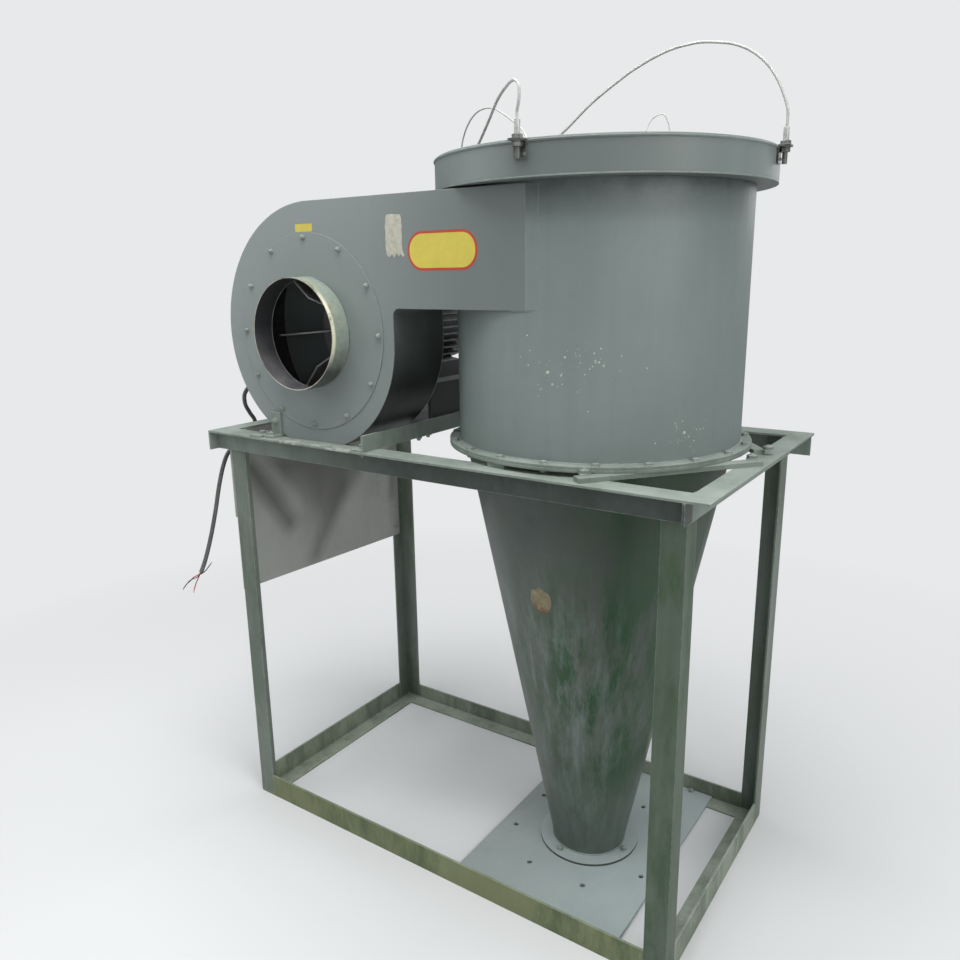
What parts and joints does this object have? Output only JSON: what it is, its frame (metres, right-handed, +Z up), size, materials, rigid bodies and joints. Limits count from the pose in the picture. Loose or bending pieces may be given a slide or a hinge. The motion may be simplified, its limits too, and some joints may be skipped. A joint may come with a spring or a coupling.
{
  "type": "cyclone dust separator",
  "caption": "Cyclone dust separator: a steel drum and cone fed by a motor-driven centrifugal blower, carried on an angle-iron stand.",
  "frame": {"origin": "on the floor, under the middle of the box round the stand and the blower's inlet collar, the power cord left out", "axes": "+Z up, +X towards the cyclone's end of the stand, -Y the way the blower's inlet faces"},
  "size_m": [1.3495, 0.7947, 1.8833],
  "materials": {
    "paint": "worn satin grey-green paint",
    "frame_paint": "worn grey-green paint over darker green",
    "plate_paint": "thin grey paint with scuffs",
    "motor_paint": "dark grey machine paint",
    "wheel_steel": "dull bare steel with dust",
    "zinc": "dull zinc plating",
    "cable": "wire rope",
    "cord": "matte grey jacket"
  },
  "bodies": {
    "cyclone_unit": {"top_rail_front": "paint", "top_rail_back": "paint", "top_rail_left": "paint", "top_rail_right": "paint", "leg_front_left": "frame_paint", "leg_front_right": "frame_paint", "leg_back_left": "frame_paint", "leg_back_right": "frame_paint", "bottom_rail_front": "frame_paint", "bottom_rail_back": "frame_paint", "bottom_rail_left": "frame_paint", "bottom_rail_right": "frame_paint", "cross_rail_right": "paint", "cross_rail_left": "paint", "outlet_plate": "plate_paint", "cone": "paint", "outlet_flange": "paint", "cone_flange": "paint", "drum": "paint", "drum_flange": "paint", "roof_plate": "paint", "vortex_tube": "paint", "top_ring": "paint", "corner_bar_front": "paint", "corner_bar_back": "paint", "flange_pads": "paint", "scroll_front": "paint", "scroll_back": "paint", "scroll_wrapper": "paint", "inlet_plate": "paint", "inlet_collar": "paint", "motor": "motor_paint", "fan_cover": "motor_paint", "terminal_box": "motor_paint", "motor_pedestal": "paint", "foot_bracket": "paint", "side_panel": "paint", "lug_front": "zinc", "lug_right": "zinc", "lug_left": "zinc", "cable_front": "cable", "cable_right": "cable", "cable_left": "cable", "power_cord": "cord"},
    "fan": {"fan_wheel": "wheel_steel"}
  },
  "joints": [
    {"name": "fan_spin", "type": "hinge", "parent": "cyclone_unit", "child": "fan", "pos_m": [-0.319, -0.19, 1.316], "axis": [0, 1, 0], "continuous": true}
  ]
}
